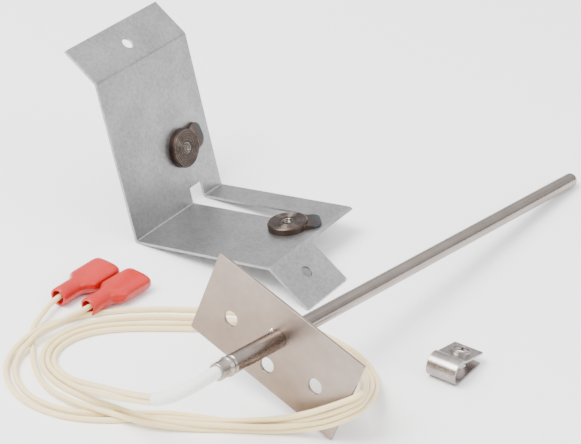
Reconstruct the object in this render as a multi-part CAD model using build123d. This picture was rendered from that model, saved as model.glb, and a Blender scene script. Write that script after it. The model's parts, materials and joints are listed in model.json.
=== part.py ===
from build123d import *
import math
import os

# Replacement thermocouple kit: flange-mounted probe with its coiled leads,
# a bent mounting bracket with two weld nuts, and a spring clip for the tube.
# The kit lies on a table: Z = 0 is the table top, +X is right, +Y is away.
# Millimetres and degrees throughout.

# ---- probe: sheath and flange
sheath_dia = 4.76            # 3/16 in stainless tube
sheath_wall = 0.5
sheath_length = 161.0        # rear face of the flange to the tip
sheath_inset = 8.0           # stretch of the sheath behind the flange
flange_length = 52.0
flange_height = 26.5
flange_thickness = 1.0
tube_offset = 2.6            # tube axis above the flange's middle
end_hole_pitch = 30.8
end_hole_drop = 2.2          # end holes below the flange's middle
middle_hole_drop = 6.9
flange_hole_dia = 4.5
braze_leg = 0.7

# ---- probe: transition sleeve and what it holds
transition_wall = 0.32
transition_dia = sheath_dia + 2 * transition_wall
transition_length = 26.3
groove_depth = 0.35
groove_width = 1.6
ridge_height = 0.15
lip_length = 4.4             # crimped end behind the groove
lip_step = 0.25              # the lip is this much smaller in radius than the sleeve
lip_dia = transition_dia - 2 * lip_step
element_dia = 0.5
element_pitch = 1.3
bead_length = 24.0
bead_gap = 0.3
bead_count = 6
bead_clearance = 0.15
junction_dia = 1.5
splice_dia = 1.2
splice_wall = 0.25
splice_length = 5.0
seal_length = 6.0

# ---- leads
lead_dia = 1.6
sleeving_wall = 0.15
sleeving_dia = 2 * (lead_dia + sleeving_wall)
sleeving_overlap = 3.0       # stretch of sleeving held inside the crimped lip
crimp_clearance = 0.05
coil_dia = 7.0               # outer size of the bundle of turns
coil_seam = 0.2              # gap that keeps the bundle's ring an open tube
# route points: the sleeving, then the pair down to the coil, then each tail
sleeving_tail = [(-35.6, -84.0, 25.5), (-41.8, -84.4, 22.2), (-44.9, -81.2, 19.5)]
pair_tail = [(-47.6, -78.4, 17.0), (-51.8, -72.0, 13.6), (-57.4, -65.6, 9.6), (-63.4, -60.4, 6.0)]
coil_route = [
    (-47.3, -68.4, 3.6), (-57.8, -63.6, 3.6), (-67.3, -57.2, 3.6), (-75.6, -49.2, 3.6),
    (-79.1, -40.2, 3.6), (-76.9, -31.4, 3.6), (-69.9, -25.0, 3.6), (-59.9, -21.2, 3.6),
    (-48.3, -19.2, 3.6), (-36.3, -18.4, 3.6), (-24.3, -18.2, 3.6), (-12.7, -19.2, 3.6),
    (-1.9, -22.2, 3.6), (7.9, -27.6, 4.0), (14.3, -36.0, 5.0), (16.9, -46.2, 6.4),
    (16.7, -57.0, 8.2), (14.9, -66.8, 9.4), (10.3, -75.6, 9.6), (2.1, -79.2, 8.6),
    (-7.1, -78.6, 6.6), (-16.1, -75.8, 4.8), (-25.9, -73.4, 3.8), (-36.5, -71.4, 3.6)]
tail_positive = [(-76.9, -34.2, 4.4), (-80.7, -29.0, 4.2), (-81.9, -22.4, 3.4), (-81.1, -16.0, 3.0)]
tail_negative = [(-74.9, -27.2, 5.2), (-73.2, -22.0, 4.6), (-71.5, -18.0, 3.6)]

# ---- crimp terminals
terminal_length = 22.0
housing_width = 10.2
housing_thickness = 4.8
housing_wall = 0.7
housing_grip = 8.0           # round stretch round the crimp
housing_neck = 3.5           # change from round to flat
blade_width = 7.6
blade_length = 8.5
blade_sheet = 0.4
curl_dia = 1.7
crimp_dia = 3.2
crimp_length = 6.0
crimp_bore = 1.7
support_wall = 0.35
grip_clearance = 0.25
housing_grip_dia = crimp_dia + 2 * (support_wall + grip_clearance + housing_wall)
strand_dia = 1.0
strip_length = 7.0
wire_entry = 2.5             # insulation inside the housing
positive_entry = (-78.9, -9.8)
positive_heading = 54.0
negative_entry = (-69.6, -14.6)
negative_heading = 52.0

# ---- probe placement: corner of the flange and tip of the sheath on the table
flange_axis_xy = (-14.0, -55.86)
probe_heading = 53.8
probe_roll = 16.0

# ---- mounting bracket
bracket_width = 44.45
bracket_sheet = 0.9
bend_radius = 1.4            # outside of each bend
upper_leg = 52.3
lower_leg = 50.4
upper_leg_slope = 40.9
upper_foot = 13.6
lower_foot = 16.3
tab_width = 21.0
foot_hole_dia = 3.8
foot_hole_share = 0.45       # along each foot
slot_width = 6.3
slot_middle = 32.3           # across the sheet from the front edge
slot_up = 5.9                # reach up the upper leg
slot_down = 38.0             # reach along the lower leg
bracket_xy = (-59.2, 26.74)
bracket_heading = -33.0

# ---- weld nuts
nut_dia = 12.6
nut_thickness = 2.2
pilot_dia = 5.4
pilot_clearance = 0.1
pilot_depth = 1.6
thread_dia = 3.5             # minor diameter of the tapped hole
tab_nut_width = 8.6
tab_nut_round = 3.0          # rounded outer corners
tab_nut_reach = 10.2
tab_nut_sheet = 1.1
upper_nut_along = 19.5
upper_nut_across = 30.0
upper_nut_turn = 78.0
lower_nut_along = 40.3
lower_nut_across = 25.2
lower_nut_turn = 42.0

# ---- spring clip
clip_width = 9.2
clip_sheet = 0.7
clip_clearance = 1.04        # sprung shut on the tube when its screw is tight
clip_bore = sheath_dia + clip_clearance
clip_lower_leaf = 11.6
clip_upper_leaf = 10.2
clip_leaf_slope = 14.0
clip_neck_angle = 48.0
clip_neck_radius = 1.2
clip_hole_dia = 4.2
clip_rim_dia = 5.8
clip_rim_height = 0.7
clip_xy = (33.2, -39.5)
clip_heading = 57.2

os.makedirs("parts", exist_ok=True)


def save(name, shape):
    """Write one node as STEP."""
    solids = shape.solids()
    body = solids[0] if len(solids) == 1 else Compound(children=list(solids))
    export_step(body, "parts/" + name + ".step")
    return body


def rod(radius, start, stop):
    """Round bar along the local Z axis."""
    return Pos(0, 0, (start + stop) / 2) * Cylinder(radius, stop - start)


def pipe(outer, inner, start, stop):
    """Tube along the local Z axis."""
    return rod(outer, start, stop) - rod(inner, start - 1, stop + 1)


def unit(heading, dip=0.0):
    """Direction from a plan heading and a dip below the horizontal."""
    flat = math.cos(math.radians(dip))
    turn = math.radians(heading)
    return Vector(flat * math.cos(turn), flat * math.sin(turn), -math.sin(math.radians(dip)))


# ---- probe frame: local Z runs along the sheath to the tip, local Y up the flange
def probe_plane(dip, height):
    """Frame at the tube hole on the flange's rear face."""
    along = unit(probe_heading, dip)
    left = unit(probe_heading + 90)
    up = along.cross(left)
    roll = math.radians(probe_roll)
    return Plane(
        origin=(*flange_axis_xy, height),
        x_dir=left * math.cos(roll) + up * math.sin(roll),
        z_dir=along,
    )


def lowest_corner(frame):
    """Height of the flange's lowest corner, for a frame at table height."""
    low = -flange_height / 2 - tube_offset
    corners = [(x, low, z) for x in (-flange_length / 2, flange_length / 2) for z in (0, flange_thickness)]
    return min(frame.from_local_coords(Vector(*c)).Z for c in corners)


sheath_r = sheath_dia / 2
probe_dip = 0.0
for _ in range(8):
    axis_height = -lowest_corner(probe_plane(probe_dip, 0.0))
    probe_dip = math.degrees(math.asin((axis_height - sheath_r) / (sheath_length - sheath_r)))
probe = probe_plane(probe_dip, axis_height)
place_probe = probe.location

# ---- sheath tube with its closed round tip
tip_centre = sheath_length - sheath_r
bore_r = sheath_r - sheath_wall
sheath = rod(sheath_r, -sheath_inset, tip_centre) + Pos(0, 0, tip_centre) * Sphere(sheath_r)
sheath -= rod(bore_r, -sheath_inset - 1, tip_centre) + Pos(0, 0, tip_centre) * Sphere(bore_r)
save("sheath_tube", place_probe * sheath)

# ---- flange plate with its tube hole, two end holes and a middle hole
hole_r = flange_hole_dia / 2
end_hole_y = -tube_offset - end_hole_drop
middle_hole_y = -tube_offset - middle_hole_drop
flange = Pos(0, -tube_offset, flange_thickness / 2) * Box(flange_length, flange_height, flange_thickness)
flange = fillet(flange.edges().filter_by(Axis.Z), 0.4)
flange -= rod(sheath_r, -1, flange_thickness + 1)
for x, y in [(-end_hole_pitch / 2, end_hole_y), (end_hole_pitch / 2, end_hole_y), (0, middle_hole_y)]:
    flange -= Pos(x, y, 0) * rod(hole_r, -1, flange_thickness + 1)
save("flange_plate", place_probe * flange)

# ---- braze ring that joins the sheath to the flange's front face
braze = Pos(0, 0, flange_thickness + braze_leg / 2) * Cone(sheath_r + braze_leg, sheath_r + 0.1, braze_leg)
braze -= rod(sheath_r, 0, flange_thickness + braze_leg + 1)
save("flange_braze", place_probe * braze)

# ---- transition sleeve: slides over the sheath's rear end, crimped on the sleeving
outer_r = transition_dia / 2
lip_r = lip_dia / 2
grip_r = sleeving_dia / 2 + crimp_clearance
groove_start = -transition_length + lip_length + groove_width
sleeve_profile = Polyline(
    (sheath_r, 0), (outer_r, 0), (outer_r, groove_start), (outer_r - groove_depth, groove_start - 0.3),
    (outer_r - groove_depth, groove_start - groove_width + 0.6),
    (outer_r + ridge_height, groove_start - groove_width + 0.2),
    (outer_r + ridge_height, groove_start - groove_width - 0.3),
    (lip_r, groove_start - groove_width - 0.7), (lip_r, -transition_length), (grip_r, -transition_length),
    (grip_r, groove_start - groove_width), (sheath_r, groove_start), close=True)
transition = revolve(Plane.XZ * make_face(sleeve_profile), Axis.Z)
save("transition_sleeve", place_probe * transition)

# ---- thermocouple elements, their junction bead and the two-bore insulators
junction_z = tip_centre - 1.0
element_r = element_dia / 2
splice_stop = -sheath_inset - 1.0
splice_start = splice_stop - splice_length
element_end = splice_stop - splice_length / 2
junction = Pos(0, 0, junction_z) * Sphere(junction_dia / 2)
half_pitch = element_pitch / 2
elements = []
for side in (1, -1):
    wire = Pos(side * half_pitch, 0, 0) * rod(element_r, element_end, junction_z - junction_dia)
    foot = Line((side * half_pitch, 0, junction_z - junction_dia), (side * 0.3, 0, junction_z))
    wire += sweep(Plane(foot @ 0, z_dir=foot % 0) * Circle(element_r), path=foot)
    elements.append(wire - junction)
save("hot_junction", place_probe * junction)
save("element_positive", place_probe * elements[0])
save("element_negative", place_probe * elements[1])
bead = rod(bore_r - bead_clearance, 0, bead_length)
for side in (1, -1):
    bead -= Pos(side * half_pitch, 0, 0) * rod(element_r + 0.05, -1, bead_length + 1)
bead_step = bead_length + bead_gap
beads_start = junction_z - junction_dia - 0.5 - bead_count * bead_step
beads = [Pos(0, 0, beads_start + k * bead_step) * bead for k in range(bead_count)]
save("insulator_beads", place_probe * Compound(children=beads))

# ---- splice barrels that join the elements to the leads, and the end seal
splices = []
for side in (1, -1):
    barrel = rod(splice_dia / 2, splice_start, splice_stop)
    barrel -= rod(element_r, splice_start - 1, splice_stop + 1)
    splices.append(Pos(side * half_pitch, 0, 0) * barrel)
save("splice_barrels", place_probe * Compound(children=splices))
seal_stop = splice_start - 0.3
seal = rod(sheath_r - 0.02, groove_start + 0.1, seal_stop)
save("end_seal", place_probe * seal)


# ---- leads: plain solids along their routes
def bend_radii(points):
    """Largest arcs that the runs allow, one for each corner."""
    radii = []
    for k in range(1, len(points) - 1):
        before = Vector(*points[k]) - Vector(*points[k - 1])
        after = Vector(*points[k + 1]) - Vector(*points[k])
        half_turn = math.radians(before.get_angle(after)) / 2
        radii.append(0.45 * min(before.length, after.length) / math.tan(half_turn))
    return radii


def cord(name, points, diameter):
    """Round solid of straight runs and tangent arcs along a route."""
    radii = bend_radii(points)
    path = FilletPolyline(*points, radius=radii)
    solid = sweep(Plane(path @ 0, z_dir=path % 0) * Circle(diameter / 2), path=path)
    area = math.pi * diameter ** 2 / 4
    print(name, "radii", [round(r, 1) for r in radii], "length", round(path.length, 1),
          "volume / (area x length)", round(solid.volume / (area * path.length), 4))
    return save(name, solid)


def on_probe(z):
    """Point on the probe's axis, in the table frame."""
    return tuple(probe.from_local_coords(Vector(0, 0, z)))


sleeving_start = -transition_length + sleeving_overlap
sleeving_route = [on_probe(sleeving_start), on_probe(-transition_length - 3.0)] + sleeving_tail
cord("lead_sleeving", sleeving_route, sleeving_dia)
pair_route = [sleeving_tail[-1]] + pair_tail
cord("lead_pair", pair_route, 2 * lead_dia)
seam = (Vector(*coil_route[0]) + Vector(*coil_route[-1])) / 2
seam_step = (Vector(*coil_route[0]) - seam).normalized() * coil_seam / 2
coil_loop = [tuple(seam + seam_step)] + coil_route + [tuple(seam - seam_step)]
cord("lead_coil", coil_loop, coil_dia)


# ---- insulated crimp terminals, lying on the table
def stadium(width, height, x):
    """Flat oval section across the terminal's length."""
    return Plane(origin=(x, 0, 0), x_dir=(0, 1, 0), z_dir=(1, 0, 0)) * SlotOverall(width, height)


def disc(radius, x):
    """Round section across the terminal's length."""
    return Plane(origin=(x, 0, 0), x_dir=(0, 1, 0), z_dir=(1, 0, 0)) * Circle(radius)


def housing_solid(shrink, overrun):
    """Housing's outline, drawn in by shrink and run on past both ends."""
    flat_start = housing_grip + housing_neck
    grip = extrude(disc(housing_grip_dia / 2 - shrink, -overrun), housing_grip + overrun)
    width = housing_width - 2 * shrink
    height = housing_thickness - 2 * shrink
    neck = loft([disc(housing_grip_dia / 2 - shrink, housing_grip), stadium(width, height, flat_start)])
    flat = extrude(stadium(width, height, flat_start), terminal_length - flat_start + overrun)
    return grip + neck + flat


def across(x, length, radius):
    """Round bar along the terminal's length from x."""
    return Location((x + length / 2, 0, 0), (0, 90, 0)) * Cylinder(radius, length)


def terminal(sign, entry, heading):
    """One terminal: housing, receptacle, support barrel and stripped wire end."""
    place = Pos(*entry, housing_grip_dia / 2) * Rot(0, 0, heading)
    housing = housing_solid(0, 0) - housing_solid(housing_wall, 1)
    crimp_start = wire_entry + 0.3
    crimp_stop = crimp_start + crimp_length
    receptacle = across(crimp_start, crimp_length, crimp_dia / 2)
    receptacle -= across(crimp_start - 1, crimp_length + 2, crimp_bore / 2)
    blade_start = terminal_length - blade_length - 0.8
    floor_z = -curl_dia / 2 + blade_sheet / 2
    blade_flat = Box(blade_length, blade_width - curl_dia, blade_sheet)
    receptacle += Pos(blade_start + blade_length / 2, 0, floor_z) * blade_flat
    for side in (1, -1):
        curl = across(blade_start, blade_length, curl_dia / 2)
        curl -= across(blade_start - 1, blade_length + 2, curl_dia / 2 - blade_sheet)
        receptacle += Pos(0, side * (blade_width - curl_dia) / 2, 0) * curl
    neck_length = blade_start - crimp_stop + 1.0
    receptacle += Pos(crimp_stop - 0.5 + neck_length / 2, 0, floor_z) * Box(neck_length, 2.4, blade_sheet)
    support_r = crimp_dia / 2 + support_wall
    support = across(crimp_start, crimp_length, support_r)
    support -= across(crimp_start - 1, crimp_length + 2, crimp_dia / 2)
    strand = across(wire_entry, strip_length - wire_entry, strand_dia / 2)
    save("terminal_housing_" + sign, place * housing)
    save("receptacle_" + sign, place * receptacle)
    save("support_barrel_" + sign, place * support)
    save("strand_end_" + sign, place * strand)
    return place


def entry_points(place):
    """Last two points of a tail: just outside the housing, and its end inside."""
    outside = (place * Pos(-1.8, 0, 0)).position
    inside = (place * Pos(wire_entry, 0, 0)).position
    return [tuple(outside), tuple(inside)]


positive_place = terminal("positive", positive_entry, positive_heading)
negative_place = terminal("negative", negative_entry, negative_heading)
cord("lead_tail_positive", tail_positive + entry_points(positive_place), lead_dia)
cord("lead_tail_negative", tail_negative + entry_points(negative_place), lead_dia)

# ---- bracket: hat section bent from one strip, then laid on its apex and lower foot
apex_drop = upper_leg * math.sin(math.radians(upper_leg_slope))
lower_leg_slope = math.degrees(math.asin(apex_drop / lower_leg))
upper_run = upper_leg * math.cos(math.radians(upper_leg_slope))
lower_run = lower_leg * math.cos(math.radians(lower_leg_slope))
section = [(-upper_run - upper_foot, apex_drop), (-upper_run, apex_drop), (0, 0),
           (lower_run, apex_drop), (lower_run + lower_foot, apex_drop)]
inner_radius = bend_radius - bracket_sheet
underside = FilletPolyline(*section, radius=[inner_radius, bend_radius, inner_radius])
strip_face = make_face(offset(underside, amount=bracket_sheet, side=Side.LEFT))
strip = extrude(Plane.XZ * strip_face, -bracket_width)

mid_angle = (180 - upper_leg_slope + lower_leg_slope) / 2
half_opening = math.radians((180 - upper_leg_slope - lower_leg_slope) / 2)
apex_centre = Vector(math.cos(math.radians(mid_angle)), math.sin(math.radians(mid_angle)))
apex_centre = apex_centre * (bend_radius / math.sin(half_opening))
toe = Vector(lower_run + lower_foot, apex_drop) - apex_centre
rest_tilt = math.degrees(math.atan2(toe.Y, toe.X) + math.asin(bend_radius / toe.length))


def on_upper_leg(along, across_sheet):
    """Frame on the upper leg's inner face: X up the leg, Z out of the face."""
    return Rot(0, upper_leg_slope, 0) * Pos(-along, across_sheet, bracket_sheet) * Rot(0, 0, 180)


def on_lower_leg(along, across_sheet):
    """Frame on the lower leg's inner face: X up the leg, Z out of the face."""
    return Rot(0, -lower_leg_slope, 0) * Pos(along, across_sheet, bracket_sheet)


def sheet_cut(length, width):
    """Box through the sheet, running along local X from the origin."""
    return Pos(length / 2, 0, -bracket_sheet / 2) * Box(length, width, 4 * bracket_sheet)


strip -= on_upper_leg(0, slot_middle) * sheet_cut(slot_up, slot_width)
strip -= on_lower_leg(0, slot_middle) * sheet_cut(slot_down, slot_width)
strip -= on_upper_leg(upper_nut_along, upper_nut_across) * rod(pilot_dia / 2 + pilot_clearance, -3, 1)
strip -= on_lower_leg(lower_nut_along, lower_nut_across) * rod(pilot_dia / 2 + pilot_clearance, -3, 1)
notch_width = bracket_width - tab_width
strip -= Pos(lower_run + lower_foot, tab_width + notch_width / 2, apex_drop) * Box(
    2 * lower_foot - 1.2, notch_width, 4 * bracket_sheet)
upper_hole = (-upper_run - foot_hole_share * upper_foot, bracket_width / 2)
lower_hole = (lower_run + foot_hole_share * lower_foot, tab_width / 2)
for x, y in (upper_hole, lower_hole):
    strip -= Pos(x, y, apex_drop) * rod(foot_hole_dia / 2, -2, 3)

laid = Rot(0, 0, bracket_heading) * Rot(0, rest_tilt, 0)
settle = -(laid * strip).bounding_box().min.Z
place_bracket = Pos(*bracket_xy, settle) * laid
save("bracket_sheet", place_bracket * strip)


# ---- weld nuts: tapped disc with a pilot through the sheet and one welded tab
def weld_nut():
    """Nut on a leg's face, with its tab along local X."""
    nut = rod(nut_dia / 2, 0, nut_thickness) + rod(pilot_dia / 2, -pilot_depth, 0.5)
    nut = chamfer(nut.edges().group_by(Axis.Z)[-1], 0.4)
    run = nut_dia / 2 - 2.0
    shoulder = nut_thickness - 0.4
    drop = Polyline((run - 2.0, 0), (tab_nut_reach, 0), (tab_nut_reach, tab_nut_sheet),
                    (run + 2.6, tab_nut_sheet), (run, shoulder), (run - 2.0, shoulder), close=True)
    lug = Pos(0, tab_nut_width / 2, 0) * extrude(Plane.XZ * make_face(drop), tab_nut_width)
    nut += fillet(lug.edges().filter_by(Axis.Z).group_by(Axis.X)[-1], tab_nut_round)
    return nut - rod(thread_dia / 2, -pilot_depth - 1, nut_thickness + 1)


upper_nut_place = place_bracket * on_upper_leg(upper_nut_along, upper_nut_across)
lower_nut_place = place_bracket * on_lower_leg(lower_nut_along, lower_nut_across)
save("weld_nut_upper", upper_nut_place * Rot(0, 0, -upper_nut_turn) * weld_nut())
save("weld_nut_lower", lower_nut_place * Rot(0, 0, lower_nut_turn) * weld_nut())

# ---- spring clip: open loop for the tube with two leaves and screw holes
loop_r = clip_bore / 2 + clip_sheet
lower_line = Line((clip_lower_leaf, 0), (0, 0))
loop_arc = CenterArc((0, loop_r), loop_r, -90, -(270 - clip_neck_angle))
neck_turn = 90 - clip_neck_angle - clip_leaf_slope
neck_arc = JernArc(loop_arc @ 1, loop_arc % 1, clip_neck_radius, neck_turn)
leaf_stop = (neck_arc @ 1) + (neck_arc % 1) * clip_upper_leaf
upper_line = Line(neck_arc @ 1, leaf_stop)
clip_path = Wire([lower_line, loop_arc, neck_arc, upper_line])
clip_face = make_face(offset(clip_path, amount=clip_sheet, side=Side.RIGHT))
clip = extrude(Plane.XZ * clip_face, clip_width / 2, both=True)
leaf_start = neck_arc @ 1
leaf_frame = Pos(leaf_start.X, 0, leaf_start.Y) * Rot(0, clip_leaf_slope, 0) * Pos(clip_upper_leaf / 2, 0, 0)
clip += leaf_frame * (rod(clip_rim_dia / 2, -clip_sheet / 2, clip_rim_height))
clip -= leaf_frame * rod(clip_hole_dia / 2, -2 * clip_sheet, 2)
clip -= Pos(clip_lower_leaf - clip_upper_leaf / 2 + 0.6, 0, 0) * rod(clip_hole_dia / 2, -1, 2)
place_clip = Pos(*clip_xy, 0) * Rot(0, 0, clip_heading)
save("loop_clip", place_clip * clip)
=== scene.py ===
import json
import math

import bmesh
import bpy
from mathutils import Matrix, Vector
from mathutils.noise import noise as noise_at


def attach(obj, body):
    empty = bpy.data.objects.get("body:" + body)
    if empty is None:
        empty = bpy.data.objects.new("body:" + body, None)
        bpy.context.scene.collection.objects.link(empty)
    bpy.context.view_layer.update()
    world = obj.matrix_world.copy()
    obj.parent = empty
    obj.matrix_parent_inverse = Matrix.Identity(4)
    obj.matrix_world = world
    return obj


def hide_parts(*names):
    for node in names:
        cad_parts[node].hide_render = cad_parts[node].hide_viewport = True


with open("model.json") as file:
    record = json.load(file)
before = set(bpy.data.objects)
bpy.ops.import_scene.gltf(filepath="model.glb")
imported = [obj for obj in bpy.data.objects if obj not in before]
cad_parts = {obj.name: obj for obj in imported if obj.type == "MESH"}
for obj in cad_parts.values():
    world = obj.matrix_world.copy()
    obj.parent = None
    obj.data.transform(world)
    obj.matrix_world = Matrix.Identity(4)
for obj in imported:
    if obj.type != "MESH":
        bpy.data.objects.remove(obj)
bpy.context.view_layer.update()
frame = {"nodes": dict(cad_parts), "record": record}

mm = 0.001

camera_place = Vector((-11.7, -500.56, 325.5)) * mm
camera_tilt = 59.063
camera_roll = 1.988
camera_lens = 124.52

camera = bpy.data.objects.new("camera", bpy.data.cameras.new("camera"))
bpy.context.scene.collection.objects.link(camera)
camera.data.lens = camera_lens
camera.data.sensor_width = 36.0
camera.data.clip_start = 0.01
tilt = Matrix.Rotation(math.radians(camera_tilt), 4, "X")
roll = Matrix.Rotation(math.radians(camera_roll), 4, "Z")
camera.matrix_world = Matrix.Translation(camera_place) @ tilt @ roll
bpy.context.scene.camera = camera

# ---- Leads: two wires, each in a braid of glass yarn soaked in varnish. They leave
# the probe in one sleeve, lie in nearly two and a half loose turns that fan out at the
# left, and end in the two terminals.
lead_radius = 0.8
lead_diameter = 2 * lead_radius * mm
lead_sides = 16
lead_start = [(-28.4, -75.3, 25.3), (-31.8, -80.0, 26.0), (-36.0, -83.7, 25.3), (-41.6, -84.1, 22.4)]
bundle = [
    (-47.3, -68.4), (-57.8, -63.6), (-67.3, -57.2), (-75.6, -49.2), (-79.1, -40.2), (-76.9, -31.4),
    (-69.9, -25.0), (-59.9, -21.2), (-48.3, -19.2), (-36.3, -18.4), (-24.3, -18.2), (-12.7, -19.2),
    (-1.9, -22.2), (7.9, -27.6), (14.3, -36.0), (16.9, -46.2), (16.7, -57.0), (14.9, -66.8),
    (10.3, -75.6), (2.1, -79.2), (-7.1, -78.6), (-16.1, -75.8), (-25.9, -73.4), (-36.5, -71.4)]
stations = len(bundle)
first_station = 3

# Each lead's lane in the bundle, turn after turn: station: (outwards, height). The
# outward steps were mostly solved by another program and then changed by hand. That is
# no example to follow: turns are better worked out by a loop from a few chosen values.
lane_positive = {
    3: (-4.2, 1.0), 4: (-2.0, 0.8), 5: (-1.0, 0.8), 6: (-0.1, 0.8), 7: (-0.5, 0.8), 8: (-1.7, 0.8),
    10: (-2.5, 0.8), 12: (-5.0, 0.8), 13: (-6.0, 0.9), 14: (-7.2, 2.6), 15: (-7.6, 5.8), 16: (-7.5, 10.5),
    17: (-5.8, 14.8), 18: (-3.0, 17.4), 19: (-7.0, 12.9), 20: (-8.7, 8.5), 21: (-9.2, 4.0),
    22: (-7.3, 2.4), 23: (-7.1, 0.8), 24: (-5.4, 0.8), 25: (3.0, 0.8), 26: (9.6, 0.8), 27: (12.2, 0.8),
    28: (11.9, 0.8), 29: (8.6, 2.8), 30: (9.3, 0.8), 31: (9.0, 0.8), 32: (8.6, 0.8), 34: (7.0, 0.8),
    36: (1.5, 0.8), 37: (-1.0, 0.8), 38: (-2.0, 0.8), 39: (-3.0, 2.8), 40: (-3.4, 6.2), 41: (-4.4, 8.9),
    42: (-3.2, 11.6), 43: (-7.8, 5.9), 44: (-9.7, 2.7), 45: (-7.9, 0.9), 46: (-5.6, 0.8), 47: (-3.2, 0.8),
    48: (0.4, 2.2), 49: (1.3, 2.6), 50: (3.2, 2.0), 51: (3.2, 0.8), 52: (3.2, 0.8)}
lane_negative = {
    3: (-2.4, 1.0), 4: (-0.3, 0.8), 5: (1.3, 0.8), 6: (2.4, 0.8), 7: (1.9, 0.8), 8: (0.8, 0.8),
    9: (0.6, 0.9), 10: (1.0, 2.0), 11: (-0.3, 2.6), 12: (-1.5, 1.6), 13: (-2.7, 0.8), 14: (-3.8, 1.0),
    15: (-4.6, 3.6), 16: (-4.8, 7.8), 17: (-5.0, 10.9), 18: (-3.1, 13.7), 19: (-7.6, 8.0),
    20: (-9.5, 4.5), 21: (-7.4, 2.5), 22: (-5.0, 2.4), 23: (-3.3, 2.4), 24: (-1.4, 2.4), 25: (-1.8, 2.4),
    26: (-1.7, 0.9), 27: (-0.1, 0.8), 28: (1.4, 0.8), 29: (3.1, 0.8), 30: (4.5, 0.8), 31: (5.1, 0.8),
    32: (4.5, 0.8), 34: (2.6, 0.8), 35: (-0.5, 0.8), 36: (-3.0, 0.8), 37: (-4.4, 0.8), 38: (-5.5, 1.3),
    39: (-6.2, 4.4), 40: (-6.3, 9.1), 41: (-5.4, 12.9), 42: (-3.1, 15.5), 43: (-7.4, 10.3),
    44: (-9.3, 6.4), 45: (-9.7, 2.3), 46: (-8.6, 0.8), 47: (-8.9, 0.8), 48: (-7.5, 0.8), 49: (-1.0, 0.8),
    50: (6.8, 0.8), 51: (9.6, 0.8), 52: (9.2, 0.8), 53: (6.4, 3.2)}
head_positive = [(-44.0, -82.1, 21.2), (-46.4, -79.7, 19.2), (-52.4, -70.2, 13.0), (-60.0, -61.0, 8.0),
                 (-66.8, -53.5, 4.2)]
head_negative = [(-43.4, -82.7, 19.8), (-45.8, -80.3, 17.8), (-52.3, -71.5, 12.0), (-59.8, -62.7, 6.8),
                 (-67.0, -54.9, 3.0)]
tail_positive = [(-83.3, -32.5, 0.8), (-84.4, -28.0, 0.8), (-84.4, -23.3, 1.4), (-82.4, -18.5, 2.6)]
tail_negative = [(-79.2, -25.7, 3.2), (-73.7, -19.1, 3.0)]

mounts = {}
for mount in frame["record"]["mounts"]:
    mounts[mount["name"]] = (Vector(mount["pos_m"]), Vector(mount["axis"]).normalized())
cover_length = 22.0
terminal_length = cover_length * mm
wire_approach = -1.8
wire_end = 2.5


def terminal_point(sign, along):
    """Point on a terminal's axis, measured from its wire entry."""
    mouth, outwards = mounts["terminal_mouth_" + sign]
    return mouth - outwards * (terminal_length - along * mm)


def between(lane, station):
    """A lane's outward step and height at any station, between the ones given."""
    before = max(k for k in lane if k <= station)
    after = min(k for k in lane if k >= station)
    share = (station - before) / max(after - before, 1)
    return [a + (b - a) * share for a, b in zip(lane[before], lane[after])]


def turns(lane):
    """Points of a lead's turns, each set off from the bundle's line."""
    points = []
    for station in range(first_station, max(lane) + 1):
        x, y = bundle[station % stations]
        ahead = Vector(bundle[(station + 1) % stations]) - Vector(bundle[(station - 1) % stations])
        outward = Vector((-ahead.y, ahead.x)).normalized()
        step, height = between(lane, station)
        points.append((x + outward.x * step, y + outward.y * step, height))
    return points


def smooth_line(name, points):
    """Points along the one NURBS spline that has these control points."""
    curve = bpy.data.curves.new(name, "CURVE")
    curve.dimensions = "3D"
    spline = curve.splines.new("NURBS")
    spline.points.add(len(points) - 1)
    for place, point in zip(spline.points, points):
        place.co = (*point, 1.0)
    spline.order_u = 3
    spline.use_endpoint_u = True
    spline.resolution_u = 8
    holder = bpy.data.objects.new(name, curve)
    mesh = bpy.data.meshes.new_from_object(holder)
    line = [v.co.copy() for v in mesh.vertices]
    bpy.data.objects.remove(holder)
    return line


def add_piece(name, mesh, materials, body):
    """Links a finished mesh as a piece that rides on a body."""
    piece = bpy.data.objects.new(name, mesh)
    bpy.context.scene.collection.objects.link(piece)
    for material in materials:
        mesh.materials.append(material)
    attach(piece, body)
    return piece


def finished(mesh, name):
    """Mesh data from an edit mesh, which is freed."""
    data = bpy.data.meshes.new(name)
    mesh.to_mesh(data)
    mesh.free()
    return data


def placed(origin, x_axis, y_axis, z_axis):
    """Placement at an origin, with these three axes."""
    return Matrix.Translation(origin) @ Matrix((x_axis, y_axis, z_axis)).transposed().to_4x4()


def tube_mesh(name, line, radius, sides, capped=True):
    """Round tube along a line; its UV map runs round it and, in metres, along it."""
    mesh = bmesh.new()
    uv = mesh.loops.layers.uv.new("along")
    rings = []
    travelled = 0.0
    side = Vector((0, 0, 1))
    for k, centre in enumerate(line):
        ahead = (line[min(k + 1, len(line) - 1)] - line[max(k - 1, 0)]).normalized()
        side = (side - ahead * side.dot(ahead)).normalized()
        other = ahead.cross(side)
        travelled += (centre - line[k - 1]).length if k else 0.0
        ring = []
        for s in range(sides):
            angle = 2 * math.pi * s / sides
            spoke = side * math.cos(angle) + other * math.sin(angle)
            ring.append(mesh.verts.new(centre + spoke * radius))
        rings.append((ring, travelled))
    for (low, v0), (high, v1) in zip(rings, rings[1:]):
        for s in range(sides):
            t = (s + 1) % sides
            face = mesh.faces.new((low[s], low[t], high[t], high[s]))
            face.smooth = True
            corners = [(s / sides, v0), ((s + 1) / sides, v0), ((s + 1) / sides, v1), (s / sides, v1)]
            for loop, corner in zip(face.loops, corners):
                loop[uv].uv = corner
    if capped:
        mesh.faces.new(reversed(rings[0][0]))
        mesh.faces.new(rings[-1][0])
    return finished(mesh, name)


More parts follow.
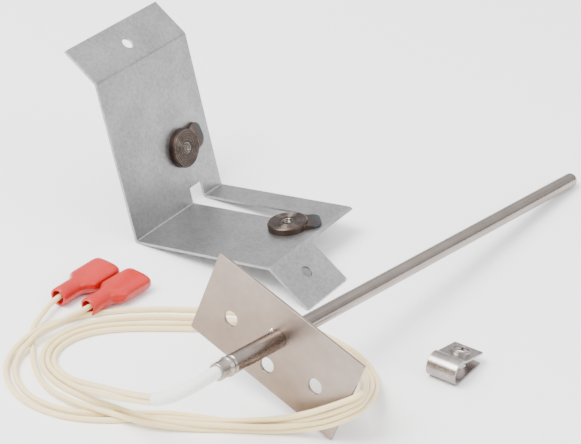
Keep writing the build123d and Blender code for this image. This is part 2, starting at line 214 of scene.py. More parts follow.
def add_node(tree, kind, inputs=(), **settings):
    """Adds a shader or geometry node; inputs are values or the sockets that feed them."""
    made = tree.nodes.new(kind)
    for key, value in settings.items():
        setattr(made, key, value)
    for key, value in dict(inputs).items():
        if isinstance(value, bpy.types.NodeSocket):
            tree.links.new(value, made.inputs[key])
        else:
            made.inputs[key].default_value = value
    return made


def group_tree(name, inputs, outputs):
    """Empty shader group with named float, vector or colour sockets."""
    kinds = {"f": "NodeSocketFloat", "v": "NodeSocketVector", "c": "NodeSocketColor"}
    tree = bpy.data.node_groups.new(name, "ShaderNodeTree")
    for socket, kind in inputs:
        tree.interface.new_socket(socket, in_out="INPUT", socket_type=kinds[kind])
    for socket, kind in outputs:
        tree.interface.new_socket(socket, in_out="OUTPUT", socket_type=kinds[kind])
    return tree, tree.nodes.new("NodeGroupInput").outputs, tree.nodes.new("NodeGroupOutput").inputs


def use_group(tree, group, inputs):
    """Places a shader group in a material and sets its inputs."""
    return add_node(tree, "ShaderNodeGroup", inputs, node_tree=group).outputs


def maths(tree, operation, *values):
    """Result of one Math node."""
    return add_node(tree, "ShaderNodeMath", dict(enumerate(values)), operation=operation).outputs[0]


def noise_mask(tree, vector, scale, detail, **more):
    """Grey mask of a noise texture."""
    settings = {"Vector": vector, "Scale": scale, "Detail": detail, **more}
    return add_node(tree, "ShaderNodeTexNoise", settings).outputs["Fac"]


def new_material(name, **constants):
    """Material with one Principled shader, whose constants are set on its own sockets."""
    material = bpy.data.materials.new(name)
    material.use_nodes = True
    tree = material.node_tree
    shader = tree.nodes["Principled BSDF"]
    for key, value in constants.items():
        shader.inputs[key.replace("_", " ")].default_value = value
    return material, tree, shader


def bump_from(tree, shader, height, strength, distance):
    """Feeds a height through a Bump node into the shader."""
    bump = add_node(tree, "ShaderNodeBump", {"Height": height, "Strength": strength, "Distance": distance})
    tree.links.new(bump.outputs["Normal"], shader.inputs["Normal"])


def blend_colours(tree, share, low, high):
    """Mix of two colours by a mask."""
    return add_node(tree, "ShaderNodeMix", {0: share, 6: low, 7: high}, data_type="RGBA").outputs[2]


def braid_group():
    """Crossing yarns of a tubular braid, from a UV map that runs round and along it."""
    tree, given, result = group_tree(
        "braid", [("UV", "v"), ("Yarns", "f"), ("Pitch", "f")], [("Height", "f"), ("Gap", "f")])
    parts = add_node(tree, "ShaderNodeSeparateXYZ", {0: given["UV"]})
    round_it = maths(tree, "MULTIPLY", parts.outputs[0], given["Yarns"])
    along_it = maths(tree, "DIVIDE", parts.outputs[1], given["Pitch"])
    waves = []
    for kind in ("ADD", "SUBTRACT"):
        crossing = maths(tree, "MULTIPLY", maths(tree, kind, round_it, along_it), math.pi)
        waves.append(maths(tree, "ABSOLUTE", maths(tree, "SINE", crossing)))
    over = maths(tree, "MAXIMUM", *waves)
    under = maths(tree, "MULTIPLY", *waves)
    tree.links.new(maths(tree, "ADD", over, under), result["Height"])
    tree.links.new(maths(tree, "SUBTRACT", 1.0, over), result["Gap"])
    return tree


braid = braid_group()


def braided_material(name, light, shade, stain, yarns, pitch, relief, rough):
    """Glass braid: crossing yarns, varnish that yellows in the gaps, and soft blotches."""
    material, tree, shader = new_material(name, Roughness=rough, Specular_IOR_Level=0.35, Sheen_Weight=0.25)
    shader.inputs["Subsurface Weight"].default_value = 0.15
    shader.inputs["Subsurface Radius"].default_value = (0.6 * mm, 0.5 * mm, 0.35 * mm)
    shader.inputs["Subsurface Scale"].default_value = 1.0
    uv = add_node(tree, "ShaderNodeUVMap", uv_map="along")
    weave = use_group(tree, braid, {"UV": uv.outputs[0], "Yarns": yarns, "Pitch": pitch})
    place = add_node(tree, "ShaderNodeTexCoord").outputs["Object"]
    blotch = noise_mask(tree, place, 90.0, 4.0)
    fibre = noise_mask(tree, place, 2600.0, 2.0)
    body = blend_colours(tree, blotch, light, shade)
    thin = maths(tree, "MULTIPLY", weave["Gap"], 0.75)
    tree.links.new(blend_colours(tree, thin, body, stain), shader.inputs["Base Color"])
    fuzz = maths(tree, "MULTIPLY_ADD", fibre, 0.35, weave["Height"])
    bump_from(tree, shader, fuzz, 0.6, relief)
    return material


lead_braid = braided_material(
    "varnished_glass_braid", (0.95, 0.80, 0.46, 1), (0.88, 0.70, 0.36, 1), (0.62, 0.44, 0.20, 1),
    8.0, 0.9 * mm, 0.05 * mm, 0.5)
lead_parts = {
    "positive": (lead_radius, head_positive, lane_positive, tail_positive,
                 ["lead_tail_positive", "lead_pair", "lead_coil"]),
    "negative": (-lead_radius, head_negative, lane_negative, tail_negative, ["lead_tail_negative"])}
for sign, (lift, head, lane, tail, stood_for) in lead_parts.items():
    inside = [(x, y, z + lift) for x, y, z in lead_start]
    route = [Vector(p) * mm for p in inside + head + turns(lane) + tail]
    route += [terminal_point(sign, wire_approach), terminal_point(sign, wire_end)]
    line = smooth_line("lead_line_" + sign, route)
    lead_mesh = tube_mesh("braided_lead_" + sign, line, lead_diameter / 2, lead_sides)
    lead = add_piece("braided_lead_" + sign, lead_mesh, [lead_braid], "probe")
    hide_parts(*stood_for)

# ---- Sleeving: a short length of white woven glass tube over both leads, held in the
# crimped end of the probe's sleeve. Its cut end is left open round the leads.
sleeving_outer = 3.5 * mm
sleeving_wall = 0.25 * mm
sleeving_sides = 40
sleeving_route = [(-27.7, -74.5, 25.3), (-31.2, -79.3, 26.0), (-35.6, -84.0, 25.5), (-41.8, -84.4, 22.2),
                  (-44.9, -81.2, 19.5)]

white_braid = braided_material(
    "white_glass_sleeving", (0.93, 0.92, 0.89, 1), (0.88, 0.86, 0.82, 1), (0.72, 0.68, 0.60, 1),
    12.0, 1.1 * mm, 0.08 * mm, 0.6)
sleeving_line = smooth_line("sleeving_line", [Vector(p) * mm for p in sleeving_route])
sleeving = add_piece(
    "woven_sleeving",
    tube_mesh("woven_sleeving", sleeving_line, sleeving_outer / 2, sleeving_sides, capped=False),
    [white_braid], "probe")
wall = sleeving.modifiers.new("wall", "SOLIDIFY")
wall.thickness = sleeving_wall
wall.offset = -1.0
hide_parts("lead_sleeving")

# ---- Terminal covers: flag-free push-on covers moulded in clear red plastic, round
# over the crimp and flat over the blade, with an open barrel at the wire end.
cover_wall = 0.7
grip_radius = 2.9
grip_length = 8.0
neck_length = 3.5
flat_half_width = 5.1
flat_half_height = 2.4
flat_mouth = 20.6
flat_mouth_draft = 0.25
barrel_mouth = 1.0
barrel_mouth_draft = 0.15
oval_squareness = 0.35
cover_ring_sides = 64
cover_stations = [0.12, 0.5, 1.2, 2.5, 4.0, 5.5, 6.6, 7.2, 7.9, 8.6, 9.4, 10.2, 11.0, 11.8, 13.0, 15.0, 17.0,
                  19.0, 20.6, 21.4, 21.88]


def blend_step(x, start, stop):
    """Smooth step from 0 to 1 between two stations."""
    t = min(max((x - start) / (stop - start), 0.0), 1.0)
    return t * t * (3 - 2 * t)


def cover_section(x, shrink):
    """One ring of the cover: a circle that turns into a flat oval along its length."""
    share = blend_step(x, grip_length - 1.0, grip_length + neck_length)
    mouth = flat_mouth_draft * blend_step(x, flat_mouth, cover_length)
    mouth += barrel_mouth_draft * (1 - blend_step(x, 0.0, barrel_mouth))
    half_width = grip_radius + (flat_half_width - grip_radius) * share - shrink - mouth
    half_height = grip_radius + (flat_half_height - grip_radius) * share - shrink - mouth
    ring = []
    for k in range(cover_ring_sides):
        angle = 2 * math.pi * k / cover_ring_sides
        power = 1.0 - oval_squareness * share
        c, s = math.cos(angle), math.sin(angle)
        y = half_width * math.copysign(abs(c) ** power, c)
        z = half_height * math.copysign(abs(s) ** power, s)
        ring.append((y, z))
    return ring


def cover_mesh(name, place):
    """Open shell with rounded lips: rings out along the outside and back along the bore."""
    rings = [(0.0, cover_wall / 2)] + [(x, 0.0) for x in cover_stations] + [(cover_length, cover_wall / 2)]
    rings += [(x, cover_wall) for x in reversed(cover_stations)]
    mesh = bmesh.new()
    loops = []
    for x, shrink in rings:
        section = [Vector((x, y, z)) * mm for y, z in cover_section(x, shrink)]
        loops.append([mesh.verts.new(place @ point) for point in section])
    for low, high in zip(loops, loops[1:] + loops[:1]):
        for k in range(cover_ring_sides):
            j = (k + 1) % cover_ring_sides
            mesh.faces.new((low[k], low[j], high[j], high[k])).smooth = True
    bmesh.ops.recalc_face_normals(mesh, faces=mesh.faces)
    return finished(mesh, name)


def terminal_place(sign):
    """Frame at a terminal's wire entry: X out of its mouth, Z up."""
    along = mounts["terminal_mouth_" + sign][1]
    up = Vector((0, 0, 1))
    return placed(terminal_point(sign, 0.0), along, up.cross(along), up)


def red_cover_material():
    """Clear red moulding, deep in colour, with cloudy flow marks and a soft gloss."""
    material, tree, shader = new_material("clear_red_cover", Roughness=0.32, IOR=1.46, Coat_Weight=0.15,
                                          Coat_Roughness=0.1)
    shader.inputs["Subsurface Weight"].default_value = 0.2
    shader.inputs["Subsurface Radius"].default_value = (2.4 * mm, 0.5 * mm, 0.4 * mm)
    shader.inputs["Subsurface Scale"].default_value = 1.0
    place = add_node(tree, "ShaderNodeTexCoord").outputs["Object"]
    flow = noise_mask(tree, place, 160.0, 5.0, Distortion=1.2)
    pit = noise_mask(tree, place, 1500.0, 2.0)
    shade = blend_colours(tree, flow, (0.34, 0.003, 0.002, 1), (0.54, 0.010, 0.006, 1))
    tree.links.new(shade, shader.inputs["Base Color"])
    bump_from(tree, shader, pit, 0.15, 0.03 * mm)
    return material


cover_red = red_cover_material()
for sign in ("positive", "negative"):
    name = "crimp_cover_" + sign
    shell = cover_mesh(name, terminal_place(sign))
    add_piece(name, shell, [cover_red], "probe")
    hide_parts("terminal_housing_" + sign)

# ---- Metal in the terminals: tinned push-on receptacles, their support barrels and
# the stripped wire ends, seen only through the open ends of the covers.


def grain_group():
    """Mill finish: broad mottling, fine grain and stretched streaks."""
    tree, given, result = group_tree(
        "mill_grain", [("Vector", "v"), ("Mottle", "f"), ("Grain", "f"), ("Streak", "v")],
        [("Mottle", "f"), ("Grain", "f"), ("Streak", "f")])
    place = given["Vector"]
    pulled = add_node(tree, "ShaderNodeVectorMath", {0: place, 1: given["Streak"]}, operation="MULTIPLY")
    tree.links.new(noise_mask(tree, place, given["Mottle"], 6.0, Roughness=0.62), result["Mottle"])
    tree.links.new(noise_mask(tree, place, given["Grain"], 3.0), result["Grain"])
    tree.links.new(noise_mask(tree, pulled.outputs[0], 1.0, 4.0), result["Streak"])
    return tree


grain = grain_group()


def sharpen(tree, value, low, high):
    """Stretches part of a mask to run from 0 to 1."""
    made = add_node(tree, "ShaderNodeMapRange", {"Value": value, "From Min": low, "From Max": high})
    return made.outputs["Result"]


def metal_material(name, dark, light, rough, mottle=120.0, fine=2500.0, streak=(60.0, 60.0, 60.0),
                   turn=(0, 0, 0), spread=(0.35, 0.65), relief=0.02, metallic=1.0, rough_swing=0.12,
                   streak_share=0.4):
    """Sheet or bar metal with mottling, grain and streaks, which the turn lines up."""
    material, tree, shader = new_material(name, Metallic=metallic)
    place = add_node(tree, "ShaderNodeTexCoord").outputs["Object"]
    turned = add_node(tree, "ShaderNodeMapping", {"Vector": place, "Rotation": turn})
    finish = use_group(tree, grain, {"Vector": turned.outputs[0], "Mottle": mottle, "Grain": fine,
                                     "Streak": streak})
    broad = sharpen(tree, finish["Mottle"], *spread)
    lines = sharpen(tree, finish["Streak"], 0.3, 0.7)
    mask = add_node(tree, "ShaderNodeMix", {0: streak_share, 2: broad, 3: lines})
    tree.links.new(blend_colours(tree, mask.outputs[0], dark, light), shader.inputs["Base Color"])
    gloss = add_node(tree, "ShaderNodeMapRange", {"Value": finish["Grain"], "To Min": rough - rough_swing,
                                                  "To Max": rough + rough_swing})
    tree.links.new(gloss.outputs["Result"], shader.inputs["Roughness"])
    height = maths(tree, "ADD", finish["Grain"], finish["Streak"])
    bump_from(tree, shader, height, 0.5, relief * mm)
    return material


def finish_node(node, material):
    """Gives a CAD node that keeps its shape its finish."""
    piece = frame["nodes"][node]
    piece.data.materials.clear()
    piece.data.materials.append(material)
    return piece


tinned = metal_material("tinned_brass", (0.62, 0.58, 0.46, 1), (0.82, 0.80, 0.74, 1), 0.28, relief=0.01)
barrel_copper = metal_material("copper_barrel", (0.62, 0.36, 0.22, 1), (0.80, 0.52, 0.36, 1), 0.34,
                               relief=0.01)
strand_metal = metal_material("stripped_strand", (0.50, 0.42, 0.34, 1), (0.72, 0.66, 0.58, 1), 0.35,
                              streak=(200.0, 2400.0, 2400.0), relief=0.03)
for sign in ("positive", "negative"):
    finish_node("receptacle_" + sign, tinned)
    finish_node("support_barrel_" + sign, barrel_copper)
    finish_node("strand_end_" + sign, strand_metal)

# ---- Probe frame: every turned piece of the probe stands on the tube's axis, which is
# found from where the flange's holes are. Z runs to the tip and Y up the flange.
end_hole_drop = 4.8
flange_sheet = 1.0

middle_hole = mounts["flange_middle_hole"][0]
end_holes, probe_axis = mounts["flange_end_holes"]
flange_up = (end_holes - middle_hole).normalized()
probe_origin = end_holes + flange_up * end_hole_drop * mm - probe_axis * flange_sheet / 2 * mm
probe_place = placed(probe_origin, flange_up.cross(probe_axis), flange_up, probe_axis)


def lathe_mesh(name, profile, place, sides=96, wobble=None):
    """Turns (radius, height) points about the local Z axis; a closed profile gives a ring."""
    mesh = bmesh.new()
    loops = []
    for k in range(sides):
        angle = 2 * math.pi * k / sides
        loop = []
        for radius, height in profile:
            r, h = wobble(radius, height, angle) if wobble else (radius, height)
            point = Vector((r * math.cos(angle), r * math.sin(angle), h)) * mm
            loop.append(mesh.verts.new(place @ point))
        loops.append(loop)
    for low, high in zip(loops, loops[1:] + loops[:1]):
        for j in range(len(profile)):
            i = (j + 1) % len(profile)
            mesh.faces.new((low[j], low[i], high[i], high[j])).smooth = True
    bmesh.ops.remove_doubles(mesh, verts=mesh.verts, dist=1e-7)
    bmesh.ops.recalc_face_normals(mesh, faces=mesh.faces)
    data = finished(mesh, name)
    data.set_sharp_from_angle(angle=math.radians(35))
    return data


# ---- Sheath: 3/16 in stainless tube, drawn, cut square behind the flange and closed
# with a round welded tip. Its line of polish runs along the tube.
sheath_radius = 2.38
sheath_bore = 1.88
sheath_back = -8.0
tip_centre = 158.62
tip_steps = 12
cut_edge_round = 0.05
pole_radius = 1e-5


def tip_arc(radius):
    """Quarter circle from the tube's side to the pole of the tip, where its points merge."""
    angles = [math.pi / 2 * k / tip_steps for k in range(tip_steps + 1)]
    return [(radius * math.cos(a) + pole_radius, tip_centre + radius * math.sin(a)) for a in angles]


along_tube = probe_axis.rotation_difference(Vector((1, 0, 0))).to_euler()
sheath_profile = [(sheath_bore, sheath_back), (sheath_radius - cut_edge_round, sheath_back),
                  (sheath_radius, sheath_back + cut_edge_round)]
sheath_profile += [(sheath_radius, z) for z in range(-4, 156, 8)]
sheath_profile += tip_arc(sheath_radius) + tip_arc(sheath_bore)[::-1]
sheath_steel = metal_material(
    "drawn_stainless", (0.22, 0.182, 0.16, 1), (0.38, 0.33, 0.30, 1), 0.2, mottle=70.0,
    streak=(14.0, 900.0, 900.0), turn=along_tube, relief=0.012, streak_share=0.65)
sheath = add_piece("drawn_sheath", lathe_mesh("drawn_sheath", sheath_profile, probe_place), [sheath_steel],
                   "probe")
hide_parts("sheath_tube")

# ---- Flange: a stamped stainless plate, satin, with screw holes and the tube through
# it. Its rounded edges carry a painted highlight, a colour much brighter than the face.
flange_edge_round = 0.12


def crisp_copy(node, width, segments=2, angle=38.0):
    """Copy of a CAD node's mesh with small rounded edges, which take the second material."""
    source = frame["nodes"][node]
    mesh = bmesh.new()
    mesh.from_mesh(source.data)
    bmesh.ops.remove_doubles(mesh, verts=mesh.verts, dist=1e-7)
    bmesh.ops.dissolve_limit(mesh, angle_limit=math.radians(0.6), verts=mesh.verts, edges=mesh.edges)
    data = finished(mesh, node + "_crisp")
    data.materials.clear()
    holder = bpy.data.objects.new("holder", data)
    bpy.context.scene.collection.objects.link(holder)
    # the bevel can only give its faces the second material if there are two
    for name in ("face", "edge"):
        data.materials.append(bpy.data.materials.new(name))
    round_off = holder.modifiers.new("round", "BEVEL")
    round_off.width = width * mm
    round_off.segments = segments
    round_off.limit_method = "ANGLE"
    round_off.angle_limit = math.radians(angle)
    round_off.material = 1
    round_off.use_clamp_overlap = True
    even = holder.modifiers.new("even", "WEIGHTED_NORMAL")
    even.keep_sharp = True
    for face in data.polygons:
        face.use_smooth = True
    done = bpy.data.meshes.new_from_object(holder.evaluated_get(bpy.context.evaluated_depsgraph_get()))
    bpy.data.objects.remove(holder)
    done.materials.clear()
    return done


flange_steel = metal_material(
    "satin_stainless", (0.28, 0.222, 0.19, 1), (0.37, 0.30, 0.26, 1), 0.36, mottle=55.0, fine=3200.0,
    streak=(500.0, 25.0, 500.0), relief=0.02, streak_share=0.3)
# painted highlight: the flange's rounded edges get a colour about twice as bright as its face
flange_edge_highlight = metal_material("painted_highlight_flange_edge", (0.66, 0.60, 0.55, 1), (0.86, 0.82, 0.78, 1), 0.25,
                              relief=0.01)
flange = add_piece("stamped_flange", crisp_copy("flange_plate", flange_edge_round),
                   [flange_steel, flange_edge_highlight], "probe")
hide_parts("flange_plate")

# ---- Braze: a thin uneven fillet that holds the tube in the flange on its front face,
# and two small bright tacks that hold the sleeve on the rear face.
fillet_sides = 72
fillet_spread = 0.35
tack_radius = 0.5
tack_angles = (-62.0, 25.0)
tack_stand_off = 0.2
tack_drop = -0.15
tack_drift = 0.22
sleeve_radius = 2.7

braze_metal = metal_material("braze_metal", (0.40, 0.33, 0.24, 1), (0.66, 0.60, 0.48, 1), 0.3, mottle=900.0,
                             relief=0.04)


def uneven_fillet(radius, height, angle):
    """Braze spreads a little further in some places than in others."""
    drift = noise_at(Vector((math.cos(angle) * 2.1, math.sin(angle) * 2.1, 4.0)))
    grow = max(radius - sheath_radius, 0.0) * fillet_spread * drift
    return radius + grow, height


fillet_profile = [(2.375, 1.0), (3.05, 1.0), (2.86, 1.07), (2.68, 1.2), (2.54, 1.4), (2.42, 1.68),
                  (2.375, 1.7)]
fillet_mesh = lathe_mesh("braze_fillet", fillet_profile, probe_place, fillet_sides, uneven_fillet)
fillet = add_piece("braze_fillet", fillet_mesh, [braze_metal], "probe")
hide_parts("flange_braze")

tack_metal = metal_material("bright_tack", (0.60, 0.52, 0.44, 1), (0.92, 0.88, 0.82, 1), 0.2, mottle=1400.0,
                            relief=0.05)
tacks = bmesh.new()
for k, turn_by in enumerate(tack_angles):
    angle = math.radians(turn_by)
    reach = sleeve_radius + tack_stand_off
    spot = Vector((reach * math.cos(angle), reach * math.sin(angle), tack_drop)) * mm
    made = bmesh.ops.create_icosphere(tacks, subdivisions=4, radius=tack_radius * mm)
    for vertex in made["verts"]:
        drift = 1 + tack_drift * noise_at(vertex.co / (0.35 * mm) + Vector((7.0 * k, 0, 0)))
        flat = Vector((vertex.co.x * 1.15, vertex.co.y * 1.15, vertex.co.z * 0.7)) * drift
        vertex.co = probe_place @ (flat + spot)
for face in tacks.faces:
    face.smooth = True
add_piece("sleeve_tacks", finished(tacks, "sleeve_tacks"), [tack_metal], "probe")

# ---- Transition sleeve: a stainless sleeve pushed over the back of the sheath, rolled
# in a groove and crimped down on the sleeving.
sleeve_steel = metal_material(
    "sleeve_stainless", (0.21, 0.17, 0.145, 1), (0.37, 0.315, 0.28, 1), 0.25, mottle=90.0,
    streak=(30.0, 700.0, 700.0), turn=along_tube, relief=0.015, streak_share=0.5)
crimp_steel = metal_material("crimped_rim", (0.24, 0.20, 0.175, 1), (0.46, 0.405, 0.37, 1), 0.28, relief=0.03)
groove_edge = -20.3
jaw_depth = 0.12
jaw_start = (22.6, 23.6)
jaw_stop = (25.0, 25.9)
sleeve_sides = 96
sleeve_profile = [
    (2.39, -0.02), (2.62, -0.02), (2.7, -0.12), (2.7, -3.0), (2.7, -8.0), (2.7, -14.0), (2.7, -19.6),
    (2.68, groove_edge), (2.52, groove_edge - 0.18), (2.38, groove_edge - 0.4),
    (2.34, groove_edge - 0.7), (2.38, groove_edge - 1.0), (2.62, groove_edge - 1.22),
    (2.8, groove_edge - 1.42), (2.85, groove_edge - 1.65), (2.8, groove_edge - 1.9),
    (2.6, groove_edge - 2.15), (2.46, groove_edge - 2.4), (2.45, groove_edge - 3.2),
    (2.45, -24.6), (2.47, -25.6), (2.44, -26.2), (2.36, -26.3), (1.86, -26.3), (1.8, -26.2), (1.8, -22.0),
    (2.0, -20.6), (2.39, -20.2)]


def crimp_flats(radius, height, angle):
    """Four shallow flats that the crimping jaws leave in the end of the sleeve."""
    depth = jaw_depth * blend_step(-height, *jaw_start) * (1 - blend_step(-height, *jaw_stop))
    return radius - depth * max(math.cos(4 * angle), 0.0), height


ferrule_mesh = lathe_mesh("rolled_sleeve", sleeve_profile, probe_place, sleeve_sides, crimp_flats)
ferrule = add_piece("rolled_sleeve", ferrule_mesh, [sleeve_steel, crimp_steel], "probe")
for face in ferrule.data.polygons:
    face.material_index = int((probe_place.inverted() @ face.center).z < (groove_edge - 1.0) * mm)
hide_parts("transition_sleeve")

# ---- Inside the probe: a thermocouple of two wires in two-bore beads, welded at the
# tip, spliced to the leads and sealed. None of it shows from outside.
alloy_wire = metal_material("thermocouple_alloy", (0.36, 0.33, 0.31, 1), (0.52, 0.49, 0.46, 1), 0.35)
splice_nickel = metal_material("nickel_splice", (0.52, 0.52, 0.54, 1), (0.74, 0.74, 0.76, 1), 0.3)
fired_ceramic = metal_material("fired_ceramic", (0.82, 0.79, 0.72, 1), (0.93, 0.91, 0.86, 1), 0.6,
                               metallic=0.0)
seal_cement = metal_material("sealing_cement", (0.62, 0.58, 0.50, 1), (0.80, 0.77, 0.70, 1), 0.8,
                             metallic=0.0, relief=0.06)
inner_finishes = {
    "hot_junction": (alloy_wire, "element_wire"), "element_positive": (alloy_wire, "element_wire"),
    "element_negative": (alloy_wire, "element_wire"), "insulator_beads": (fired_ceramic, "ceramic"),
    "splice_barrels": (splice_nickel, "splice"), "end_seal": (seal_cement, "cement")}
for node, (material, slot) in inner_finishes.items():
    finish_node(node, material)

# ---- Bracket: one strip of coated sheet, punched, bent into a vee with two feet. The
# coating has a fine grey mottle, and its cut edges are a shade brighter.
bracket_edge_round = 0.1
coated_sheet = metal_material(
    "coated_sheet", (0.25, 0.248, 0.25, 1), (0.44, 0.436, 0.44, 1), 0.42, mottle=900.0, fine=2200.0,
    streak=(90.0, 90.0, 90.0), spread=(0.32, 0.68), relief=0.03, streak_share=0.45)
cut_edge = metal_material("cut_edge", (0.26, 0.25, 0.25, 1), (0.46, 0.45, 0.45, 1), 0.38, relief=0.03)
bracket = add_piece("bent_bracket", crisp_copy("bracket_sheet", bracket_edge_round),
                    [coated_sheet, cut_edge], "bracket")
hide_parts("bracket_sheet")

# ---- Weld nuts: turned steel discs with a joggled tab, welded to the bracket. The
# weld's heat has browned and blued the tabs.
nut_face = 2.2
nut_seat_step = 0.3
nut_edge_round = 0.15
nut_heat_reach = {"upper": 14.0, "lower": 13.0}
ring_count = 5
ring_radius = 2.9
ring_step = 0.72
ring_wire = 0.16
thread_turns = 7
thread_radius = 1.74
thread_pitch = 0.55
thread_wire = 0.14
thread_start = -1.3
ring_resolution = 96
wire_resolution = 8


def ring_tree():
    """Rings about Z: the radius grows by Step and the height by Rise from one to the next."""
    tree = bpy.data.node_groups.new("turned_rings", "GeometryNodeTree")
    sockets = [("Count", "NodeSocketInt"), ("Radius", "NodeSocketFloat"), ("Step", "NodeSocketFloat"),
               ("Rise", "NodeSocketFloat"), ("Wire", "NodeSocketFloat"), ("Metal", "NodeSocketMaterial")]
    for socket, kind in sockets:
        tree.interface.new_socket(socket, in_out="INPUT", socket_type=kind)
    tree.interface.new_socket("Geometry", in_out="OUTPUT", socket_type="NodeSocketGeometry")
    given = tree.nodes.new("NodeGroupInput").outputs
    index = tree.nodes.new("GeometryNodeInputIndex").outputs[0]
    grown = maths(tree, "MULTIPLY_ADD", index, given["Step"], given["Radius"])
    rise = add_node(tree, "ShaderNodeCombineXYZ", {"Z": given["Rise"]}).outputs[0]
    points = add_node(tree, "GeometryNodeMeshLine", {"Count": given["Count"], "Offset": rise}).outputs[0]
    circle = add_node(tree, "GeometryNodeCurvePrimitiveCircle",
                      {"Resolution": ring_resolution, "Radius": 1.0}).outputs[0]
    scale = add_node(tree, "ShaderNodeCombineXYZ", {"X": grown, "Y": grown, "Z": 1.0}).outputs[0]
    rings = add_node(tree, "GeometryNodeInstanceOnPoints",
                     {"Points": points, "Instance": circle, "Scale": scale})
    real = add_node(tree, "GeometryNodeRealizeInstances", {0: rings.outputs[0]}).outputs[0]
    wire = add_node(tree, "GeometryNodeCurvePrimitiveCircle",
                    {"Resolution": wire_resolution, "Radius": given["Wire"]}).outputs[0]
    swept = add_node(tree, "GeometryNodeCurveToMesh", {"Curve": real, "Profile Curve": wire}).outputs[0]
    solid = add_node(tree, "GeometryNodeRealizeInstances", {0: swept}).outputs[0]
    painted = add_node(tree, "GeometryNodeSetMaterial",
                       {"Geometry": solid, "Material": given["Metal"]}).outputs[0]
    tree.links.new(painted, tree.nodes.new("NodeGroupOutput").inputs[0])
    return tree


rings_of = ring_tree()


def ring_mesh(name, place, sizes, material):
    """Runs the ring tree once and returns its result as a plain mesh, put in its place."""
    holder = bpy.data.objects.new(name, bpy.data.meshes.new(name))
    bpy.context.scene.collection.objects.link(holder)
    maker = holder.modifiers.new("rings", "NODES")
    maker.node_group = rings_of
    sockets = [item for item in rings_of.interface.items_tree if item.in_out == "INPUT"]
    identifiers = {item.name: item.identifier for item in sockets}
    for key, value in sizes.items():
        maker[identifiers[key]] = value
    maker[identifiers["Metal"]] = material
    done = bpy.data.meshes.new_from_object(holder.evaluated_get(bpy.context.evaluated_depsgraph_get()))
    bpy.data.objects.remove(holder)
    done.transform(place)
    for face in done.polygons:
        face.use_smooth = True
    return done


def heat_group():
    """Temper colours by distance from the weld: dark brown, slate blue, brown, straw."""
    tree, given, result = group_tree("temper_colours", [("Distance", "f")], [("Color", "c")])
    ramp = add_node(tree, "ShaderNodeValToRGB", {"Fac": given["Distance"]})
    stops = [(0.0, (0.040, 0.030, 0.026, 1)), (0.42, (0.065, 0.047, 0.040, 1)),
             (0.56, (0.075, 0.052, 0.040, 1)), (0.68, (0.055, 0.065, 0.072, 1)),
             (0.80, (0.085, 0.110, 0.115, 1)), (0.90, (0.22, 0.125, 0.07, 1)),
             (1.0, (0.26, 0.20, 0.16, 1))]
    band = ramp.color_ramp
    band.elements[0].position, band.elements[0].color = stops[0]
    band.elements[1].position, band.elements[1].color = stops[-1]
    for position, colour in stops[1:-1]:
        band.elements.new(position).color = colour
    tree.links.new(ramp.outputs["Color"], result["Color"])
    return tree


temper = heat_group()


def nut_material(name, centre, reach, light):
    """Turned steel, dark from welding, with temper colours out along the tab and streaks of painted highlight
    in the given light colour.
    """
    material, tree, shader = new_material(name, Metallic=1.0)
    place = add_node(tree, "ShaderNodeTexCoord").outputs["Object"]
    finish = use_group(tree, grain, {"Vector": place, "Mottle": 420.0, "Grain": 2800.0,
                                     "Streak": (300, 300, 300)})
    away = add_node(tree, "ShaderNodeVectorMath", {0: place, 1: tuple(centre)}, operation="DISTANCE")
    share = maths(tree, "DIVIDE", away.outputs["Value"], reach * mm)
    ragged = maths(tree, "MULTIPLY_ADD", finish["Mottle"], 0.24, share)
    heat = use_group(tree, temper, {"Distance": maths(tree, "SUBTRACT", ragged, 0.12)})
    # painted highlight: streaks from the noise are mixed towards the fixed light colour
    bright = sharpen(tree, finish["Streak"], 0.45, 0.8)
    tree.links.new(blend_colours(tree, bright, heat["Color"], light), shader.inputs["Base Color"])
    gloss = add_node(tree, "ShaderNodeMapRange", {"Value": finish["Mottle"], "To Min": 0.22, "To Max": 0.5})
    tree.links.new(gloss.outputs["Result"], shader.inputs["Roughness"])
    bump_from(tree, shader, finish["Grain"], 0.4, 0.03 * mm)
    return material


ring_steel = metal_material("turned_ring", (0.055, 0.042, 0.038, 1), (0.19, 0.155, 0.135, 1), 0.25,
                            mottle=500.0)
thread_steel = metal_material("cut_thread", (0.22, 0.19, 0.18, 1), (0.60, 0.55, 0.50, 1), 0.2, mottle=700.0)
nut_edge = metal_material("worn_nut_edge", (0.09, 0.07, 0.062, 1), (0.24, 0.20, 0.175, 1), 0.28, mottle=600.0)
ring_sizes = {"Count": ring_count, "Radius": ring_radius * mm, "Step": ring_step * mm, "Rise": 0.0,
              "Wire": ring_wire * mm}
thread_sizes = {"Count": thread_turns, "Radius": thread_radius * mm, "Step": 0.0, "Rise": thread_pitch * mm,
                "Wire": thread_wire * mm}
for which, reach in nut_heat_reach.items():
    centre, axis = mounts["weld_nut_" + which]
    side = axis.orthogonal().normalized()
    seat = placed(centre - axis * nut_seat_step * mm, side, axis.cross(side), axis)
    # the last colour is the painted highlight laid along the nut's streaks
    nut_steel = nut_material("welded_nut_" + which, centre, reach, (0.060, 0.044, 0.037, 1))
    nut = add_piece("turned_nut_" + which, crisp_copy("weld_nut_" + which, nut_edge_round),
                    [nut_steel, nut_edge], "bracket")
    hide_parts("weld_nut_" + which)
    for label, height, sizes, metal in (("turned_rings_", nut_face, ring_sizes, ring_steel),
                                        ("thread_turns_", thread_start, thread_sizes, thread_steel)):
        at_height = seat @ Matrix.Translation((0, 0, height * mm))
        add_piece(label + which, ring_mesh(label + which, at_height, sizes, metal), [], "bracket")

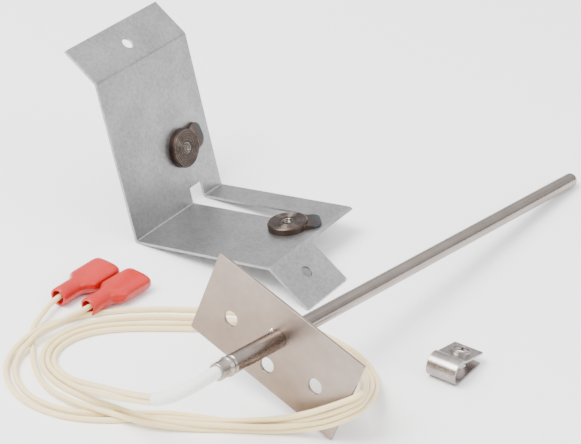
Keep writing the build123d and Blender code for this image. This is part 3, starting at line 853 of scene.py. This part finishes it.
# ---- Clip: a strip of plated spring steel rolled into a loop for the tube, with two
# leaves and a drawn hole for its screw.
clip_edge_round = 0.1
spring_plate = metal_material(
    "plated_spring", (0.24, 0.21, 0.20, 1), (0.42, 0.38, 0.365, 1), 0.3, mottle=150.0,
    streak=(400.0, 40.0, 400.0), relief=0.02)
# painted highlight: the clip's rounded edges get a colour about twice as bright as its face
clip_edge_highlight = metal_material("clip_edge_highlight", (0.66, 0.62, 0.60, 1), (0.88, 0.85, 0.83, 1), 0.24)
clip = add_piece("spring_clip", crisp_copy("loop_clip", clip_edge_round), [spring_plate, clip_edge_highlight], "clip")
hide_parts("loop_clip")

# ---- Studio: a flat white floor, a soft sky that brightens towards the top, one large
# key light from the upper left and a weaker fill.
floor_mesh = bpy.data.meshes.new("floor")
floor_reach = 3.0
floor_corners = [(x * floor_reach, y * floor_reach, 0) for x, y in ((-1, -1), (1, -1), (1, 1), (-1, 1))]
floor_mesh.from_pydata(floor_corners, [], [(0, 1, 2, 3)])
floor = bpy.data.objects.new("floor", floor_mesh)
bpy.context.scene.collection.objects.link(floor)
floor_paint, _, floor_shader = new_material("floor_paint", Roughness=0.9)
floor_shader.inputs["Base Color"].default_value = (0.99, 0.99, 0.99, 1)
floor_mesh.materials.append(floor_paint)

world = bpy.data.worlds.new("studio")
world.use_nodes = True
bpy.context.scene.world = world
sky = world.node_tree.nodes["Background"]
sky.inputs["Color"].default_value = (1.0, 1.0, 1.0, 1)
direction = add_node(world.node_tree, "ShaderNodeTexCoord").outputs["Generated"]
rise = add_node(world.node_tree, "ShaderNodeSeparateXYZ", {0: direction}).outputs["Z"]
glow = add_node(world.node_tree, "ShaderNodeMapRange", {"Value": rise, "From Min": 0.0, "From Max": 0.75,
                                                        "To Min": 0.45, "To Max": 2.1})
world.node_tree.links.new(glow.outputs["Result"], sky.inputs["Strength"])


def soft_light(name, place, size, power):
    lamp = bpy.data.lights.new(name, "AREA")
    lamp.size = size
    lamp.energy = power
    holder = bpy.data.objects.new(name, lamp)
    bpy.context.scene.collection.objects.link(holder)
    aim = Vector((0, 0, 0.02)) - Vector(place)
    holder.matrix_world = Matrix.Translation(place) @ aim.to_track_quat("-Z", "Y").to_matrix().to_4x4()


soft_light("key", (-0.5, -0.2, 0.9), 0.6, 22.0)
soft_light("fill", (0.8, -0.5, 0.6), 0.5, 4.0)
